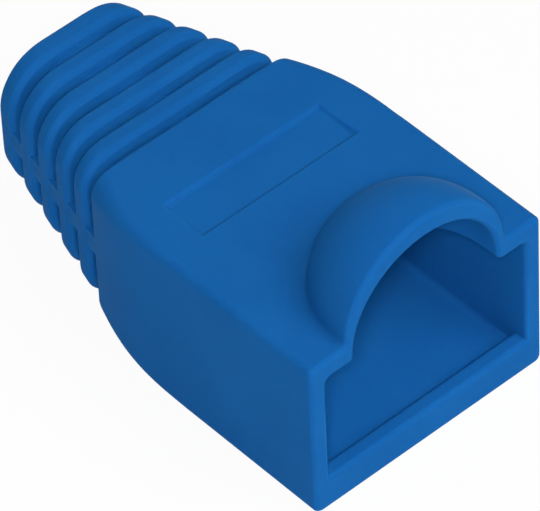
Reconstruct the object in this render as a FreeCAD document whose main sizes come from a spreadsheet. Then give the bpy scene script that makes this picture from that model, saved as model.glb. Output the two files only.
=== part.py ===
"""Slip-on strain relief boot for a modular plug, moulded in one piece from soft PVC.

Millimetres.  Inside the body the mouth is at y = 0, the tail points along +Y, the flat
underside is z = 0 and x = 0 is the plane of symmetry.  The finished body is moved so that
its origin is the middle of the footprint of its bounding box.
"""
import FreeCAD
import Part
import math
import os

import Sketcher
from FreeCAD import Vector

os.makedirs("parts", exist_ok=True)
doc = FreeCAD.newDocument("strain_relief_boot")

# ---------------------------------------------------------------------------------------
# Driving dimensions
# ---------------------------------------------------------------------------------------
DIMENSIONS = [
    # body
    ("overall_length", 25.5),      # mouth to cable end
    ("half_width", 7.15),          # outside, over the plug
    ("top_height", 9.6),           # flat top above the flat underside
    ("edge_radius", 0.45),         # long edges of the front half
    ("straight_length", 9.1),      # front stretch with one section all along
    ("body_length", 16.34),        # mouth to the first groove
    ("flank_start", 11.1),         # where the flanks start to curve in
    ("flank_radius", 15.5),        # arc of each flank, seen from above
    ("keel_start", 9.1),           # where the underside starts to rise
    ("keel_radius", 50.0),         # arc of the underside, seen from the side
    ("shoulder_corner", 1.25),     # corner radius of the section at the first groove
    # tail
    ("tail_corner", 1.6),          # corner radius of the tail where it leaves the body
    ("tail_end_half_width", 4.2),
    ("tail_end_bottom", 1.2),
    ("tail_end_top", 9.05),
    ("tail_end_corner", 2.75),
    ("ring_count", 5),             # the last one is the longer collar at the cable end
    ("ring_pitch", 1.8),
    ("rim_chamfer", 0.27),         # softening of every rim beside a groove
    ("groove_width", 0.6),         # gap in front of each ring
    ("core_radius", 3.58),         # tube round the cable, where the grooves stop
    ("spine_height", 5.1),         # middle of the spines above the underside
    ("spine_half_height", 0.5),
    ("spine_set_back", 0.08),      # spines stand this far below the rings' flanks
    # cable bore and plug socket
    ("bore_radius", 3.0),
    ("bore_height", 5.12),         # bore axis above the underside
    ("socket_half_width", 6.2),
    ("socket_floor", 1.02),
    ("socket_ceiling", 8.45),
    ("socket_corner", 0.35),
    ("socket_depth", 10.3),
    ("plug_stop", 0.35),           # ledge round the end of the socket, where the plug seats
    ("funnel_end", 15.9),
    # sill across the mouth
    ("sill_top", 1.92),
    ("sill_depth", 1.0),
    ("sill_round", 0.35),
    # hood over the plug's latch
    ("hood_radius", 4.95),
    ("hood_axis_height", 9.55),
    ("hood_straight", 0.8),        # the hood is a half tube this far, then a quarter ball
    ("latch_radius", 4.45),
    ("latch_axis_height", 8.8),
    ("latch_straight", 1.1),
    ("hood_root_round", 0.35),     # concave rounding where the hood rises from the flat top
    ("latch_foot_round", 0.35),    # rounding where the latch space opens into the socket
    # sunk panel on the top
    ("panel_front", 9.87),
    ("panel_back", 12.55),
    ("panel_half_width", 4.82),
    ("panel_depth", 0.25),
    # small edges
    ("mouth_chamfer", 0.18),
]

sheet = doc.addObject("Spreadsheet::Sheet", "Sheet")
for row, (alias, number) in enumerate(DIMENSIONS, start=1):
    sheet.set("A%d" % row, alias)
    sheet.set("B%d" % row, str(number))
    sheet.setAlias("B%d" % row, alias)
doc.recompute()


def value(expression):
    """The number that an expression on the sheet gives."""
    return float(sheet.evalExpression(str(expression)))


# ---------------------------------------------------------------------------------------
# The body, its sketches and their dimensions
# ---------------------------------------------------------------------------------------
body = doc.addObject("PartDesign::Body", "boot")
body.Label = "boot"


def origin_item(role):
    """One of the body's own planes or axes."""
    return next(item for item in body.Origin.OriginFeatures if item.Role == role)


def attached_sketch(name, role):
    """A new sketch on one of the body's own three planes."""
    sketch = body.newObject("Sketcher::SketchObject", name)
    sketch.AttachmentSupport = [(origin_item(role), "")]
    sketch.MapMode = "FlatFace"
    return sketch


def cross_sketch(name, station):
    """A sketch across the boot at y = station: its axes are +X and +Z, its normal is -Y."""
    sketch = attached_sketch(name, "XZ_Plane")
    sketch.setExpression("AttachmentOffset.Base.z", "-(%s)" % station)
    return sketch


def long_sketch(name, axis_height="0"):
    """A sketch in the plane of symmetry: its axes are +Y and +Z, drawn from z = axis_height."""
    sketch = attached_sketch(name, "YZ_Plane")
    sketch.setExpression("AttachmentOffset.Base.y", str(axis_height))
    return sketch


def flat_sketch(name, height):
    """A sketch parallel to the underside at z = height: its axes are +X and +Y."""
    sketch = attached_sketch(name, "XY_Plane")
    sketch.setExpression("AttachmentOffset.Base.z", str(height))
    return sketch


def dimension(sketch, kind, *reference_and_expression):
    """A dimension that follows an expression on the sheet."""
    *reference, expression = reference_and_expression
    constraint = Sketcher.Constraint(kind, *reference, value(expression))
    index = sketch.addConstraint(constraint)
    sketch.setExpression("Constraints[%d]" % index, str(expression))


def draw_rectangle(sketch, left, right, bottom, top, corner=None):
    """A rectangle between four expressions, with round corners where a radius is given."""
    x0, x1, y0, y1 = (value(side) for side in (left, right, bottom, top))
    r = value(corner) if corner else 0.0
    corners = [(x1 - r, y1 - r), (x0 + r, y1 - r), (x0 + r, y0 + r), (x1 - r, y0 + r)]
    lines = [
        ((x1, y0 + r), (x1, y1 - r)),
        ((x1 - r, y1), (x0 + r, y1)),
        ((x0, y1 - r), (x0, y0 + r)),
        ((x0 + r, y0), (x1 - r, y0)),
    ]
    line_ids = []
    for start, end in lines:
        line_ids.append(sketch.addGeometry(Part.LineSegment(Vector(*start, 0), Vector(*end, 0))))
    arc_ids = []
    if corner:
        for quarter, (cx, cy) in enumerate(corners):
            circle = Part.Circle(Vector(cx, cy, 0), Vector(0, 0, 1), r)
            start_angle = quarter * math.pi / 2
            arc = Part.ArcOfCircle(circle, start_angle, start_angle + math.pi / 2)
            arc_ids.append(sketch.addGeometry(arc))
    for side in range(4):
        following = line_ids[(side + 1) % 4]
        if corner:
            sketch.addConstraint(Sketcher.Constraint("Tangent", line_ids[side], 2, arc_ids[side], 1))
            sketch.addConstraint(Sketcher.Constraint("Tangent", arc_ids[side], 2, following, 1))
        else:
            sketch.addConstraint(Sketcher.Constraint("Coincident", line_ids[side], 2, following, 1))
    for side in (0, 2):
        sketch.addConstraint(Sketcher.Constraint("Vertical", line_ids[side]))
        sketch.addConstraint(Sketcher.Constraint("Horizontal", line_ids[side + 1]))
    for arc in arc_ids[1:]:
        sketch.addConstraint(Sketcher.Constraint("Equal", arc_ids[0], arc))
    if corner:
        dimension(sketch, "Radius", arc_ids[0], corner)
    dimension(sketch, "DistanceX", line_ids[0], 1, right)
    dimension(sketch, "DistanceX", line_ids[2], 1, left)
    dimension(sketch, "DistanceY", line_ids[3], 1, bottom)
    dimension(sketch, "DistanceY", line_ids[1], 1, top)


def draw_circle(sketch, height, radius):
    """A circle centred on x = 0."""
    circle = Part.Circle(Vector(0, value(height), 0), Vector(0, 0, 1), value(radius))
    index = sketch.addGeometry(circle)
    sketch.addConstraint(Sketcher.Constraint("PointOnObject", index, 3, -2))
    dimension(sketch, "DistanceY", index, 3, height)
    dimension(sketch, "Radius", index, radius)


def section_sketch(name, station, half_width, bottom, top, corner=None):
    """One cross-section of the boot: a rectangle centred on x = 0, its corners round if asked."""
    sketch = cross_sketch(name, station)
    draw_rectangle(sketch, "-(%s)" % half_width, half_width, bottom, top, corner)
    return sketch


def feature(kind, name, profile=None, **settings):
    """A PartDesign feature; settings given as text become expressions."""
    item = body.newObject("PartDesign::" + kind, name)
    if profile is not None:
        item.Profile = profile
    for setting, content in settings.items():
        if isinstance(content, str):
            item.setExpression(setting, content)
        else:
            setattr(item, setting, content)
    doc.recompute()
    if "Invalid" in item.State or "Error" in item.State:
        raise RuntimeError("%s failed: %s" % (name, item.State))
    print("%-16s %9.3f mm3" % (name, item.Shape.Volume))
    return item


def at_station(*stations, outside="0"):
    """A test for points in one of these planes across the boot, this far out from the bore axis."""
    planes = [value(station) for station in stations]
    axis, reach = value("Sheet.bore_height"), value(outside)

    def test(point):
        in_plane = any(abs(point.y - plane) < 1e-4 for plane in planes)
        return in_plane and math.hypot(point.x, point.z - axis) > reach

    return test


def soften(kind, name, base, size, test):
    """Rounds or chamfers the edges of base whose two ends and middle all pass a test."""
    chosen = []
    for index, edge in enumerate(base.Shape.Edges, start=1):
        first, last = edge.ParameterRange
        points = [edge.valueAt(first + (last - first) * part) for part in (0.0, 0.5, 1.0)]
        if all(test(point) for point in points):
            chosen.append("Edge%d" % index)
    print("%-16s %d edges" % (name, len(chosen)))
    setting = {"Fillet": "Radius", "Chamfer": "Size"}[kind]
    return feature(kind, name, Base=(base, chosen), **{setting: size})


# ---------------------------------------------------------------------------------------
# Outside of the body: a straight front, then shoulders that curve in to the tail
# ---------------------------------------------------------------------------------------
SHOULDER_SECTIONS = 5


def flank(station):
    """Half-width outside: straight, then an arc that curves in."""
    past = "max(0; %s - Sheet.flank_start)" % station
    return "(Sheet.half_width - Sheet.flank_radius + sqrt(Sheet.flank_radius^2 - (%s)^2))" % past


def keel(station):
    """Height of the underside: flat, then an arc that rises."""
    past = "max(0; %s - Sheet.keel_start)" % station
    return "(Sheet.keel_radius - sqrt(Sheet.keel_radius^2 - (%s)^2))" % past


front_outline = section_sketch(
    "front_outline", "0", "Sheet.half_width", "0", "Sheet.top_height", "Sheet.edge_radius")
front = feature("Pad", "front", front_outline, Length="Sheet.straight_length", Reversed=True)

shoulder_outlines = []
for number in range(SHOULDER_SECTIONS):
    share = "%d / %d" % (number, SHOULDER_SECTIONS - 1)
    station = "(Sheet.straight_length + (Sheet.body_length - Sheet.straight_length) * %s)" % share
    corner = "Sheet.edge_radius + (Sheet.shoulder_corner - Sheet.edge_radius) * (%s)^2" % share
    shoulder_outlines.append(section_sketch(
        "shoulder_outline_%d" % number, station,
        flank(station), keel(station), "Sheet.top_height", corner))
shoulder = feature("AdditiveLoft", "shoulder", shoulder_outlines[0], Sections=shoulder_outlines[1:])
soften("Chamfer", "shoulder_rim", shoulder, "Sheet.rim_chamfer", at_station("Sheet.body_length"))

# ---------------------------------------------------------------------------------------
# Tail: a core tube, rings round it, and a spine along each flank that ties the rings
# ---------------------------------------------------------------------------------------
OVERLAP = 0.4   # how far one form reaches into the next, so that they join as one solid

core_outline = cross_sketch("core_outline", "Sheet.body_length - %s" % OVERLAP)
draw_circle(core_outline, "Sheet.bore_height", "Sheet.core_radius")
feature("Pad", "core", core_outline, Reversed=True,
        Length="Sheet.overall_length - Sheet.body_length")


def tail_value(start, end, station):
    """A dimension that runs straight from the body's end to the cable end."""
    share = "(%s - Sheet.body_length) / (Sheet.overall_length - Sheet.body_length)" % station
    return "(%s + (%s - %s) * %s)" % (start, end, start, share)


def tail_half_width(station):
    return tail_value(flank("Sheet.body_length"), "Sheet.tail_end_half_width", station)


ring_count = int(value("Sheet.ring_count"))
for number in range(ring_count):
    near = "(Sheet.body_length + %d * Sheet.ring_pitch + Sheet.groove_width)" % number
    far = "(Sheet.body_length + %d * Sheet.ring_pitch)" % (number + 1)
    if number == ring_count - 1:
        far = "Sheet.overall_length"
    ring_outlines = []
    for end, station in (("near", near), ("far", far)):
        ring_outlines.append(section_sketch(
            "ring_%d_%s" % (number, end), station, tail_half_width(station),
            tail_value(keel("Sheet.body_length"), "Sheet.tail_end_bottom", station),
            tail_value("Sheet.top_height", "Sheet.tail_end_top", station),
            tail_value("Sheet.tail_corner", "Sheet.tail_end_corner", station)))
    ring = feature("AdditiveLoft", "ring_%d" % number, ring_outlines[0],
                   Sections=[ring_outlines[1]], Ruled=True)
    rims = at_station(near, far, outside="Sheet.core_radius + 0.01")
    soften("Chamfer", "ring_rim_%d" % number, ring, "Sheet.rim_chamfer", rims)

spine_outlines = []
for name, station in (
    ("spine_start", "(Sheet.body_length - %s)" % OVERLAP),
    ("spine_end", "(Sheet.overall_length - 2 * Sheet.rim_chamfer)"),
):
    sketch = cross_sketch(name, station)
    reach = "(%s - Sheet.spine_set_back)" % tail_half_width(station)
    draw_rectangle(
        sketch, "-" + reach, reach,
        "Sheet.spine_height - Sheet.spine_half_height",
        "Sheet.spine_height + Sheet.spine_half_height")
    spine_outlines.append(sketch)
feature("AdditiveLoft", "spines", spine_outlines[0], Sections=[spine_outlines[1]])

# ---------------------------------------------------------------------------------------
# Hood over the latch: an arched tube with flared feet, closed behind by a quarter of a ball
# ---------------------------------------------------------------------------------------


def draw_arch(sketch, radius, axis_height, base_height, flare, whole):
    """A round arch whose feet flare out onto a flat base, all of it or its right half."""
    r, round_foot = value(radius), value(flare)
    axis, base = value(axis_height), value(base_height)
    bottom = "%s - %s" % (base_height, OVERLAP)
    low = value(bottom)
    rise = base + round_foot - axis
    reach = math.sqrt((r + round_foot)**2 - rise**2)
    lean = math.atan2(rise, reach)
    up = Vector(0, 0, 1)
    floor_start = -reach if whole else 0.0
    crown_end = math.pi - lean if whole else math.pi / 2

    floor = sketch.addGeometry(Part.LineSegment(Vector(floor_start, low, 0), Vector(reach, low, 0)))
    side = sketch.addGeometry(Part.LineSegment(Vector(reach, low, 0), Vector(reach, base, 0)))
    foot_circle = Part.Circle(Vector(reach, base + round_foot, 0), up, round_foot)
    foot = sketch.addGeometry(Part.ArcOfCircle(foot_circle, math.pi + lean, 1.5 * math.pi))
    crown_circle = Part.Circle(Vector(0, axis, 0), up, r)
    crown = sketch.addGeometry(Part.ArcOfCircle(crown_circle, lean, crown_end))
    sketch.addConstraint(Sketcher.Constraint("Horizontal", floor))
    sketch.addConstraint(Sketcher.Constraint("Vertical", side))
    sketch.addConstraint(Sketcher.Constraint("Coincident", floor, 2, side, 1))
    sketch.addConstraint(Sketcher.Constraint("Coincident", side, 2, foot, 2))
    sketch.addConstraint(Sketcher.Constraint("Vertical", foot, 3, foot, 2))
    sketch.addConstraint(Sketcher.Constraint("Tangent", foot, 1, crown, 1))
    sketch.addConstraint(Sketcher.Constraint("PointOnObject", crown, 3, -2))
    dimension(sketch, "DistanceY", crown, 3, axis_height)
    dimension(sketch, "Radius", crown, radius)
    dimension(sketch, "Radius", foot, flare)
    dimension(sketch, "DistanceY", side, 2, base_height)
    dimension(sketch, "DistanceY", side, 1, bottom)

    if whole:
        left_circle = Part.Circle(Vector(-reach, base + round_foot, 0), up, round_foot)
        left_foot = sketch.addGeometry(Part.ArcOfCircle(left_circle, 1.5 * math.pi, 2 * math.pi - lean))
        closing = sketch.addGeometry(Part.LineSegment(Vector(-reach, base, 0), Vector(-reach, low, 0)))
        sketch.addConstraint(Sketcher.Constraint("Tangent", crown, 2, left_foot, 2))
        sketch.addConstraint(Sketcher.Constraint("Coincident", left_foot, 1, closing, 1))
        sketch.addConstraint(Sketcher.Constraint("Vertical", left_foot, 3, left_foot, 1))
        sketch.addConstraint(Sketcher.Constraint("Equal", foot, left_foot))
        sketch.addConstraint(Sketcher.Constraint("Horizontal", side, 2, closing, 1))
    else:
        closing = sketch.addGeometry(Part.LineSegment(Vector(0, axis + r, 0), Vector(0, low, 0)))
        sketch.addConstraint(Sketcher.Constraint("Coincident", crown, 2, closing, 1))
        sketch.addConstraint(Sketcher.Constraint("PointOnObject", closing, 1, -2))
    sketch.addConstraint(Sketcher.Constraint("Vertical", closing))
    sketch.addConstraint(Sketcher.Constraint("Coincident", closing, 2, floor, 1))


def dome(straight_kind, turned_kind, name, sizes, straight):
    """A straight arch from the mouth, then half a turn of its right half about the upright axis."""
    arch = cross_sketch(name + "_arch", "0")
    draw_arch(arch, *sizes, whole=True)
    feature(straight_kind, name + "_front", arch, Length=straight, Reversed=straight_kind == "Pad")
    half_arch = cross_sketch(name + "_half_arch", straight)
    draw_arch(half_arch, *sizes, whole=False)
    return feature(turned_kind, name, half_arch, ReferenceAxis=(half_arch, ["V_Axis"]), Angle=180.0)


HOOD_SIZES = ("Sheet.hood_radius", "Sheet.hood_axis_height", "Sheet.top_height",
              "Sheet.hood_root_round")
dome("Pad", "Revolution", "hood", HOOD_SIZES, "Sheet.hood_straight")

# ---------------------------------------------------------------------------------------
# Sunk panel on the top
# ---------------------------------------------------------------------------------------
panel_outline = flat_sketch("panel_outline", "Sheet.top_height")
draw_rectangle(panel_outline, "-Sheet.panel_half_width", "Sheet.panel_half_width",
               "Sheet.panel_front", "Sheet.panel_back")
feature("Pocket", "panel", panel_outline, Length="Sheet.panel_depth")

# ---------------------------------------------------------------------------------------
# Inside: plug socket, funnel, cable bore and the latch space under the hood
# ---------------------------------------------------------------------------------------


socket_outline = section_sketch(
    "socket_outline", "0", "Sheet.socket_half_width", "Sheet.socket_floor",
    "Sheet.socket_ceiling", "Sheet.socket_corner")
feature("Pocket", "socket", socket_outline, Length="Sheet.socket_depth")

funnel_outlines = []
for name, station, half_width, bottom, top in (
    ("funnel_mouth", "Sheet.socket_depth", "Sheet.socket_half_width - Sheet.plug_stop",
     "Sheet.socket_floor + Sheet.plug_stop", "Sheet.socket_ceiling - Sheet.plug_stop"),
    ("funnel_throat", "Sheet.funnel_end", "Sheet.bore_radius",
     "Sheet.bore_height - Sheet.bore_radius", "Sheet.bore_height + Sheet.bore_radius"),
):
    funnel_outlines.append(section_sketch(name, station, half_width, bottom, top))
feature("SubtractiveLoft", "funnel", funnel_outlines[0], Sections=[funnel_outlines[1]], Ruled=True)

bore_outline = cross_sketch("bore_outline", "Sheet.funnel_end")
draw_circle(bore_outline, "Sheet.bore_height", "Sheet.bore_radius")
feature("Pocket", "bore", bore_outline, Length="Sheet.overall_length - Sheet.funnel_end + 1")

LATCH_SIZES = ("Sheet.latch_radius", "Sheet.latch_axis_height", "Sheet.socket_ceiling",
               "Sheet.latch_foot_round")
dome("Pocket", "Groove", "latch_space", LATCH_SIZES, "Sheet.latch_straight")

sill_outline = long_sketch("sill_outline")
draw_rectangle(sill_outline, "0", "Sheet.sill_depth",
               "Sheet.socket_floor - %s" % OVERLAP, "Sheet.sill_top")
sill = feature("Pad", "sill", sill_outline, Midplane=True,
               Length="2 * Sheet.socket_half_width + %s" % OVERLAP)


def on_sill_crest(point):
    """True on the sill's back top edge, which the plug rides over."""
    return (abs(point.y - value("Sheet.sill_depth")) < 1e-4
            and abs(point.z - value("Sheet.sill_top")) < 1e-4)


sill_crest = soften("Fillet", "sill_crest", sill, "Sheet.sill_round", on_sill_crest)
soften("Chamfer", "mouth_edges", sill_crest, "Sheet.mouth_chamfer", at_station("0"))

# ---------------------------------------------------------------------------------------
# Place, check and write
# ---------------------------------------------------------------------------------------
body.setExpression("Placement.Base.y", "-Sheet.overall_length / 2")
doc.recompute()

failed = [item.Name for item in doc.Objects if "Invalid" in item.State or "Error" in item.State]
if failed:
    raise RuntimeError("failed objects: %s" % failed)
for part in (body,):
    if part.Shape.isNull() or not part.Shape.isValid():
        raise RuntimeError("bad shape: %s" % part.Label)
    if len(part.Shape.Solids) != 1:
        raise RuntimeError("%s is not one solid" % part.Label)
    box = part.Shape.BoundBox
    print("%s: %.3f mm3, x %.2f..%.2f, y %.2f..%.2f, z %.2f..%.2f" % (
        part.Label, part.Shape.Volume, box.XMin, box.XMax, box.YMin, box.YMax, box.ZMin, box.ZMax))
    part.Shape.exportStep("parts/%s.step" % part.Label)
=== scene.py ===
# %% [markdown]
# # A strain relief boot for an eight-way data plug
#
# The object is one small moulding in soft PVC, 25.5 mm long. Its square front slips over the plug,
# the arched hood at the front lets a finger press the plug's latch, and the ribbed tail lets the cable
# bend without a kink. The CAD model already holds the whole shape, so this file gives it its finish:
# the frame is loaded, then come the camera, the floor, the lamps and the soft plastic, and last a
# copy of the solid's mesh whose edges are rounded as a moulding's are.
#
# Every length is in metres, and a value written as `6 * MM` is 6 millimetres. The few plain
# millimetres, for the lens, the lamps and the sizes of a pattern, are marked where they stand.

# %% The frame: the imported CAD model
import math

import bmesh
import bpy
from mathutils import Matrix, Vector


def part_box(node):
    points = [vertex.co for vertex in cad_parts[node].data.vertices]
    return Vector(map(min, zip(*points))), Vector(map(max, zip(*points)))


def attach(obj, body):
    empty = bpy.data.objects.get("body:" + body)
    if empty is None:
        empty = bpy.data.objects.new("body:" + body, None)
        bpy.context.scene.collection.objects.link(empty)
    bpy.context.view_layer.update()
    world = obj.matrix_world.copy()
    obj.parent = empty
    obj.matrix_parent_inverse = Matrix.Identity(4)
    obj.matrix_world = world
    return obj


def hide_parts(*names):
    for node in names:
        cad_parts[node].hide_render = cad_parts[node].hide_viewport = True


MM = 0.001

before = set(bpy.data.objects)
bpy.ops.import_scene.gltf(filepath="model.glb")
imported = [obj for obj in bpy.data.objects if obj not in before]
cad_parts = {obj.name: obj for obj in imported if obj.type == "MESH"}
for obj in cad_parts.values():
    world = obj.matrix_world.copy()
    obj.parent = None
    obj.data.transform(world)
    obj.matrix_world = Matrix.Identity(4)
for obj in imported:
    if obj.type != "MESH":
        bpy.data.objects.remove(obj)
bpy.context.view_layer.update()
boot_lo, boot_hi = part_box("boot")
scene = bpy.context.scene
scene.view_settings.view_transform = "Standard"
print("boot, mm:", [round((high - low) / MM, 2) for low, high in zip(boot_lo, boot_hi)])

# %% [markdown]
# ## The camera
#
# A product shot of a small part is usually taken from well back with a long lens, because a near
# camera makes the front look swollen. A camera is placed by three things: the point it looks at, the
# direction back from that point, and the distance. The lens then sets the size of the object in the
# frame. Here the camera stands 289 mm away, in front of the left side and 46 degrees up, and it is
# turned by a few degrees about its own axis, as a hand-held camera often is. A small lens shift
# places the boot in the frame without turning the camera.

# %% The camera
LOOK_AT = Vector((0, -2.65, 4.55)) * MM
CAMERA_DISTANCE = 289.32 * MM
CAMERA_TURN = math.radians(-40.07)
CAMERA_RISE = math.radians(45.69)
CAMERA_ROLL = math.radians(-2.832)
SENSOR_WIDTH = 36  # millimetres, as Blender takes the focal length too
FOCAL_IN_WIDTHS = 11.4709
LENS_SHIFT = (-0.02127, 0.00184)
NEAREST, FARTHEST = 20 * MM, 5000 * MM

back = Vector((
    math.sin(CAMERA_TURN) * math.cos(CAMERA_RISE),
    -math.cos(CAMERA_TURN) * math.cos(CAMERA_RISE),
    math.sin(CAMERA_RISE),
))
right = (-back).cross(Vector((0, 0, 1))).normalized()
up = right.cross(-back)
camera_axes = Matrix((right, up, back)).transposed()

lens = bpy.data.cameras.new("product_lens")
camera = bpy.data.objects.new("product_camera", lens)
scene.collection.objects.link(camera)
camera.location = LOOK_AT + back * CAMERA_DISTANCE
camera.rotation_euler = (camera_axes @ Matrix.Rotation(CAMERA_ROLL, 3, "Z")).to_euler()
lens.sensor_width = SENSOR_WIDTH
lens.lens = FOCAL_IN_WIDTHS * SENSOR_WIDTH
lens.shift_x, lens.shift_y = LENS_SHIFT
lens.clip_start, lens.clip_end = NEAREST, FARTHEST
scene.camera = camera
print("lens, mm:", round(lens.lens, 1))
print("camera at, mm:", [round(c / MM, 1) for c in camera.location])

# %% [markdown]
# ## Shader maths as plain expressions
#
# A material in Blender is a graph: each node takes sockets in and gives a socket out. Adding and
# wiring every node by hand hides what the graph works out. The small class below wraps one output
# socket and gives it the usual operators, so that `1 - mask * 0.3` adds its two Math nodes by itself.
# `Graph.node` adds any other node: its settings come first and its inputs after them.

# %% One socket with operators
class Value:
    """The output socket of a node, with arithmetic that adds Math nodes."""

    def __init__(self, graph, socket):
        self.graph, self.socket = graph, socket

    def math(self, operation, other):
        return self.graph.node("ShaderNodeMath", {"operation": operation}, {0: self, 1: other})

    def __add__(self, other):
        return self.math("ADD", other)

    __radd__ = __add__

    def __mul__(self, other):
        return self.math("MULTIPLY", other)

    __rmul__ = __mul__

    def __sub__(self, other):
        return self.math("SUBTRACT", other)

    def __rsub__(self, other):
        return (self * -1) + other

    def larger(self, other):
        return self.math("MAXIMUM", other)

    def between(self, low, high):
        """0 at low and below, 1 at high and above, with a soft S-shaped change in between."""
        settings = {"interpolation_type": "SMOOTHSTEP"}
        inputs = {"Value": self, "From Min": low, "From Max": high}
        return self.graph.node("ShaderNodeMapRange", settings, inputs)


# %% One way to add any other node
class Graph:
    """The node tree of a new material or world, emptied first."""

    def __init__(self, owner):
        self.owner = owner
        self.owner.use_nodes = True
        self.tree = self.owner.node_tree
        self.tree.nodes.clear()

    def node(self, kind, settings=None, inputs=None, output=0):
        """A new node; its inputs are plain values or sockets, and one output comes back."""
        made = self.tree.nodes.new(kind)
        for name, value in (settings or {}).items():
            setattr(made, name, value)
        for name, value in (inputs or {}).items():
            if isinstance(value, Value):
                self.tree.links.new(value.socket, made.inputs[name])
            else:
                made.inputs[name].default_value = value
        return Value(self, made.outputs[output]) if made.outputs else None

    def mix_colour(self, factor, first, second):
        """first where factor is 0, second where it is 1."""
        # A Mix node has sockets for every kind of data. For colours, inputs 6 and 7 and output 2 count.
        settings = {"data_type": "RGBA"}
        return self.node("ShaderNodeMix", settings, {0: factor, 6: first, 7: second}, output=2)


# %% [markdown]
# ## The floor and the background
#
# A small part is often set on a white sweep, lit so that the sweep comes out as plain white. Pouring
# light on until the floor clips would wash the part out too. Light Path is kinder: what the camera
# and the reflections see can differ from what lights the part. The floor here is pale for the light
# that it bounces back. For the camera it is mixed with plain white, so only its soft shadow shows.
# It lies a hair below the boot's flat underside, since two faces in one plane flicker.

# %% Which rays are shown the white background
def seen_as_white(graph):
    """1 for rays from the camera and for reflected or refracted rays, 0 for the rest."""
    camera_ray, glossy_ray, through_ray = [
        graph.node("ShaderNodeLightPath", output=name)
        for name in ("Is Camera Ray", "Is Glossy Ray", "Is Transmission Ray")
    ]
    return camera_ray.larger(glossy_ray).larger(through_ray)


# %% The floor
WHITE = (1, 1, 1, 1)
PALE_PAPER = (0.8, 0.8, 0.8, 1)
WHITENESS = 0.94

sweep = Graph(bpy.data.materials.new("white_sweep"))
paper = sweep.node("ShaderNodeBsdfDiffuse", {}, {"Color": PALE_PAPER})
white = sweep.node("ShaderNodeEmission", {}, {"Color": WHITE, "Strength": 1.0})
share = seen_as_white(sweep) * WHITENESS
swept = sweep.node("ShaderNodeMixShader", {}, {0: share, 1: paper, 2: white})
sweep.node("ShaderNodeOutputMaterial", {}, {"Surface": swept})

FLOOR_HALF_SIZE = 600 * MM
HAIR = 0.02 * MM

floor_mesh = bpy.data.meshes.new("floor")
square = bmesh.new()
bmesh.ops.create_grid(
    square, x_segments=1, y_segments=1, size=FLOOR_HALF_SIZE,
    matrix=Matrix.Translation((0, 0, -HAIR)),
)
square.to_mesh(floor_mesh)
square.free()
floor = bpy.data.objects.new("floor", floor_mesh)
scene.collection.objects.link(floor)
floor_mesh.materials.append(sweep.owner)
print("floor, mm across:", round(FLOOR_HALF_SIZE * 2 / MM))

# %% [markdown]
# ## The room
#
# The world around the floor needs the same two faces. To the camera it is white, so the edge of the
# floor can't be seen. As a lamp it is a weak plain fill from every side, like the light that the
# walls of a white room send back.

# %% The world: white to look at, a plain grey fill for the part
ROOM_FILL = 0.10

room = Graph(bpy.data.worlds.new("white_room"))
fill = room.node("ShaderNodeBackground", {}, {"Color": WHITE, "Strength": ROOM_FILL})
backdrop = room.node("ShaderNodeBackground", {}, {"Color": WHITE, "Strength": 1.0})
around = room.node("ShaderNodeMixShader", {}, {0: seen_as_white(room), 1: fill, 2: backdrop})
room.node("ShaderNodeOutputWorld", {}, {"Surface": around})
scene.world = room.owner
print("fill light:", ROOM_FILL)

# %% [markdown]
# ## The lamps
#
# The part is matte and dark, and its grooves and its socket are deep. Lamps from the sides would
# leave them black, as the rims would shade them. The main lamp here is a small softbox right beside
# the lens, so that it reaches every place that the camera can see. A second one at the front, on the
# right, makes the rim of the mouth the lightest face, and a weak one behind keeps the far side from
# going flat. The levels are low, because at a plain level a colour shows about as it is written.

# %% Softboxes
def softbox(name, place, size, watts):
    """A square area lamp that faces the boot, with its place and size in millimetres."""
    lamp = bpy.data.lights.new(name, "AREA")
    lamp.shape = "SQUARE"
    lamp.size = size * MM
    lamp.energy = watts
    box = bpy.data.objects.new(name, lamp)
    scene.collection.objects.link(box)
    box.location = Vector(place) * MM
    box.rotation_euler = (box.location - LOOK_AT).to_track_quat("Z", "Y").to_euler()
    print(name, "at, mm:", place, "watts:", watts)


softbox("lens_softbox", place=(-126, -152, 205), size=36, watts=0.55)
softbox("front_softbox", place=(45, -140, 166), size=120, watts=0.245)
softbox("back_softbox", place=(60, 170, 110), size=120, watts=0.08)

# %% [markdown]
# ## Soft PVC
#
# The boot is injection moulded in one shot of plasticised PVC. Its skin copies the mould's fine
# spark-eroded grain, so it is matte with a weak, wide sheen. The colour is one pigment through the
# whole wall, but it is never quite even: the flow of the melt leaves faint clouds. The wall is thin
# and the plastic isn't quite opaque, so a little light spreads inside it and softens the edges:
# that is Subsurface, with a reach of about a third of a millimetre. The grain is a bump, because
# it is only about a hundredth of a millimetre deep, far too fine for the mesh.

# %% Noise in millimetres
pvc = Graph(bpy.data.materials.new("soft_blue_pvc"))
position = pvc.node("ShaderNodeTexCoord", output="Object")


def noise(size, detail=2.0, roughness=0.5, distortion=0.0):
    """Noise whose blotches are about size millimetres across, from 0 to 1."""
    inputs = {
        "Vector": position, "Scale": 1 / (size * MM), "Detail": detail,
        "Roughness": roughness, "Distortion": distortion,
    }
    return pvc.node("ShaderNodeTexNoise", {"noise_dimensions": "3D"}, inputs)


clouds = noise(6.0, detail=3.0, distortion=0.6).between(0.35, 0.65)
mottle = noise(0.7, detail=3.0)
grain = noise(0.16, detail=3.0, roughness=0.6)
fine_grain = noise(0.05, detail=2.0)
print("nodes for the noise:", len(pvc.tree.nodes))
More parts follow.
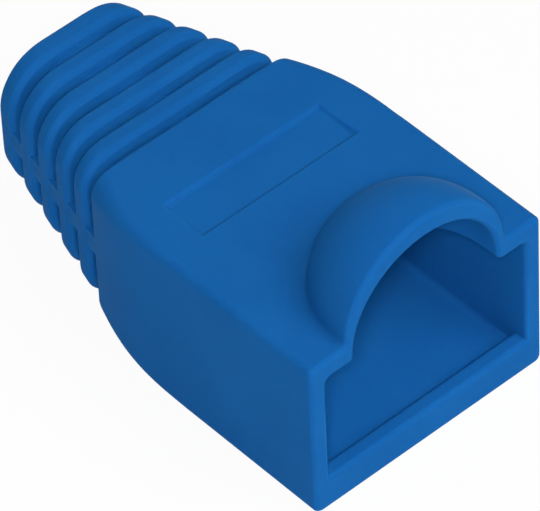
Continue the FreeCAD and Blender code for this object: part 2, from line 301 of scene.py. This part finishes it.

# %% [markdown]
# ## Rubbed edges and painted light in the grooves
#
# Handling polishes the outward edges, which turns them a touch lighter and less rough. The grooves
# and inner corners are given a paler blue, which is painted light: it lifts the shade that falls
# there. They are also made a little rougher. Both places can be found from the shape alone. Ambient
# Occlusion that looks into the solid is low where little plastic lies behind the surface, which is
# at an edge, and the one that looks outward is low where walls stand close around.

# %% Masks for the edges and the grooves
def closeness(inside, reach):
    """How much of the view within reach millimetres is blocked, from 0 to 1."""
    settings = {"inside": inside, "only_local": True, "samples": 4}
    return 1 - pvc.node("ShaderNodeAmbientOcclusion", settings, {"Distance": reach * MM}, output="AO")


rubbed = closeness(inside=True, reach=0.35).between(0.12, 0.55)
# Where walls stand close, in the grooves and inner corners. Painted light goes there below.
crease_mask = closeness(inside=False, reach=1.2).between(0.45, 0.95)
print("nodes with the masks:", len(pvc.tree.nodes))

# %% [markdown]
# ## Putting the finish together
#
# The colour is mixed in three steps: two near blues for the uneven pigment, a lighter one on the
# rubbed edges, and a paler one in the grooves and inner corners, which is painted light that lifts
# their shade. The mottle and both masks also move the roughness a little, since a place that looks
# different is seldom just as smooth. What is the same everywhere, such as the index of refraction,
# is set on the shader's own sockets.

# %% The colour, the roughness and the grain
DEEP_BLUE = (0.0070, 0.106, 0.345, 1)
BRIGHT_BLUE = (0.0085, 0.120, 0.378, 1)
RUBBED_BLUE = (0.0105, 0.136, 0.385, 1)
# The next blue is painted light for the grooves and inner corners, paler to lift their shade.
PAINTED_LIGHT_BLUE = (0.0120, 0.160, 0.490, 1)
CLOUD_SHARE = 0.6  # of the pigment's unevenness, the rest being mottle
WEAR = 0.6  # how far a rubbed edge turns to RUBBED_BLUE
# The next two set how far the grooves and inner corners take the painted light, and how unevenly.
CREASE_PAINTED_LIGHT, CREASE_PAINTED_LIGHT_MOTTLE = 0.35, 0.3  # how far a sheltered place turns to PAINTED_LIGHT_BLUE, and how unevenly
BASE_ROUGHNESS = 0.55
MOTTLE_ROUGHNESS, WEAR_POLISH, CREASE_ROUGHNESS = 0.16, 0.1, 0.08
COARSE_GRAIN_SHARE = 0.7
GRAIN_DEPTH = 0.02 * MM
LIGHT_REACH = 0.35 * MM
RED_GREEN_BLUE_REACH = (0.25, 0.6, 1.0)

unevenness = clouds * CLOUD_SHARE + mottle * (1 - CLOUD_SHARE)
pigment = pvc.mix_colour(unevenness, DEEP_BLUE, BRIGHT_BLUE)
handled = pvc.mix_colour(rubbed * WEAR, pigment, RUBBED_BLUE)
# Painted light: the grooves and inner corners turn towards the paler blue, which lifts their shade.
colour_with_painted_light = pvc.mix_colour(crease_mask * (CREASE_PAINTED_LIGHT + mottle * CREASE_PAINTED_LIGHT_MOTTLE), handled, PAINTED_LIGHT_BLUE)
roughness = BASE_ROUGHNESS + (mottle - 0.5) * MOTTLE_ROUGHNESS
roughness = roughness - rubbed * WEAR_POLISH + crease_mask * CREASE_ROUGHNESS
height = grain * COARSE_GRAIN_SHARE + fine_grain * (1 - COARSE_GRAIN_SHARE)
skin_bump = pvc.node("ShaderNodeBump", {}, {
    "Strength": 0.35, "Distance": GRAIN_DEPTH, "Height": height,
})
surface = pvc.node("ShaderNodeBsdfPrincipled", {}, {
    "Base Color": colour_with_painted_light,
    "Roughness": roughness,
    "IOR": 1.5,
    "Specular IOR Level": 0.012,
    "Subsurface Weight": 0.6,
    "Subsurface Radius": RED_GREEN_BLUE_REACH,
    "Subsurface Scale": LIGHT_REACH,
    "Normal": skin_bump,
})
pvc.node("ShaderNodeOutputMaterial", {}, {"Surface": surface})
print("nodes in the plastic:", len(pvc.tree.nodes))

# %% [markdown]
# ## The moulding with rounded edges
#
# No edge of a soft moulding is sharp: the mould's edges are rounded, and the skin of the melt pulls
# in a little more as it cools. The CAD solid has plain chamfers there, which show as facets on the
# rings. Modelling every ring again would risk a shape that is no longer the solid's. So a copy of
# its mesh is merged, slivers are closed, and the flat faces become whole ones that a bevel can cut.

# %% A merged copy of the CAD mesh
TAIL_START = boot_lo.y + 16 * MM
SAME_POINT = 0.001 * MM
SLIVER = 0.11 * MM
FLAT = math.radians(0.6)

solid_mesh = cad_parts["boot"].data
skin = bmesh.new()
skin.from_mesh(solid_mesh)
bmesh.ops.remove_doubles(skin, verts=skin.verts, dist=SAME_POINT)
slivers = [
    edge for edge in skin.edges
    if edge.calc_length() < SLIVER and min(corner.co.y for corner in edge.verts) > TAIL_START
]
bmesh.ops.collapse(skin, edges=slivers)
bmesh.ops.dissolve_degenerate(skin, dist=SAME_POINT, edges=skin.edges)
bmesh.ops.dissolve_limit(skin, angle_limit=FLAT, verts=skin.verts, edges=skin.edges)
print("faces:", len(solid_mesh.polygons), "->", len(skin.faces), "slivers closed:", len(slivers))

# %% [markdown]
# ## Sloping the walls of the sunk panel
#
# A raised block in the mould forms the shallow panel on top. Its sides need a little draft, a slope
# that lets the soft part come off without dragging. The CAD model gives the panel upright walls. In
# the copy the four corners of its floor are drawn in a little, which slopes all four walls at once.

# %% Draft on the panel
PANEL_LO = Vector((-5.1 * MM, boot_lo.y + 9.5 * MM, 9.2 * MM))
PANEL_HI = Vector((5.1 * MM, boot_lo.y + 12.9 * MM, 9.7 * MM))
PANEL_MIDDLE = (PANEL_LO + PANEL_HI) / 2
DRAFT = 0.12 * MM


def in_panel(point):
    """True for a point inside a box around the sunk panel."""
    return all(low < value < high for low, value, high in zip(PANEL_LO, point, PANEL_HI))


floor_corners = [
    corner for corner in skin.verts if in_panel(corner.co) and corner.co.z < PANEL_MIDDLE.z
]
for corner in floor_corners:
    for axis in (0, 1):
        corner.co[axis] -= math.copysign(DRAFT, corner.co[axis] - PANEL_MIDDLE[axis])
print("corners of the panel's floor:", len(floor_corners))

# %% [markdown]
# ## Which edges are rounded, and how far
#
# The Bevel modifier can take its width from a weight on each edge, so one modifier rounds every
# edge by its own amount. Outward edges of the rings get a little more than those of the rest.
# The sunk panel gets the most, on its inner edges too, so that its walls turn into soft steps.
# Three kinds stay sharp: inner corners, the cable passage, where rounding the step from the funnel
# to the bore would fold the surface, and the small bars between the rings, which stand too close to
# the rims for two rounded edges.

# %% A bevel weight on every edge to be rounded
SHARP = math.radians(28)
ROUNDING = 0.12 * MM
PANEL_SHARE, RING_SHARE, MOUTH_SHARE = 1.0, 0.73, 0.64
PASSAGE_HEIGHT, PASSAGE_REACH = 5.12 * MM, 3.4 * MM
BAR_REACH, CORE_HALF_WIDTH = 0.75 * MM, 3.6 * MM
PASSAGE_START, PASSAGE_END = 0.0, boot_hi.y - 0.5 * MM
UPRIGHT = 0.9  # an edge runs up and down if the height's share of its direction is above this


def bevel_share(start, end, is_convex):
    """How much of the full rounding the edge from start to end gets, from 0 to 1."""
    middle, along = (start + end) / 2, (end - start).normalized()
    if in_panel(middle):
        return PANEL_SHARE
    off_axis = math.hypot(middle.x, middle.z - PASSAGE_HEIGHT)
    in_passage = off_axis < PASSAGE_REACH and PASSAGE_START < middle.y < PASSAGE_END
    if in_passage or not is_convex:
        return 0.0
    if middle.y < TAIL_START:
        return MOUTH_SHARE
    beside_core = abs(middle.x) > CORE_HALF_WIDTH and abs(middle.z - PASSAGE_HEIGHT) < BAR_REACH
    return 0.0 if beside_core and abs(along.z) < UPRIGHT else RING_SHARE


weight = skin.edges.layers.float.new("bevel_weight_edge")
for edge in skin.edges:
    if edge.calc_face_angle(0) > SHARP:
        edge[weight] = bevel_share(*(corner.co for corner in edge.verts), edge.is_convex)
        edge.smooth = edge[weight] > 0
print("rounded edges:", sum(edge[weight] > 0 for edge in skin.edges))

# %% [markdown]
# ## The finished piece
#
# The copy becomes an object of its own, smooth-shaded, with the bevel as a modifier. Three segments
# are enough for roundings that are a tenth of a millimetre wide. Smooth shading would make the flat
# faces look dented near the roundings, so Weighted Normal lets the large faces set the shading.
# The piece rides on the one body of the part and stands in for the CAD solid.

# %% The moulding
for face in skin.faces:
    face.smooth = True
moulding_mesh = bpy.data.meshes.new("boot_moulding")
skin.to_mesh(moulding_mesh)
skin.free()
moulding_mesh.materials.append(pvc.owner)
moulding = bpy.data.objects.new("boot_moulding", moulding_mesh)
scene.collection.objects.link(moulding)

bevel = moulding.modifiers.new("rounded_edges", "BEVEL")
bevel.limit_method = "WEIGHT"
bevel.width = ROUNDING
bevel.segments = 3
bevel.use_clamp_overlap = False
flats = moulding.modifiers.new("flat_faces", "WEIGHTED_NORMAL")
flats.keep_sharp = True

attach(moulding, "root")
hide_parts("boot")
print("piece:", moulding.name, "with", len(moulding_mesh.polygons), "faces before the bevel")
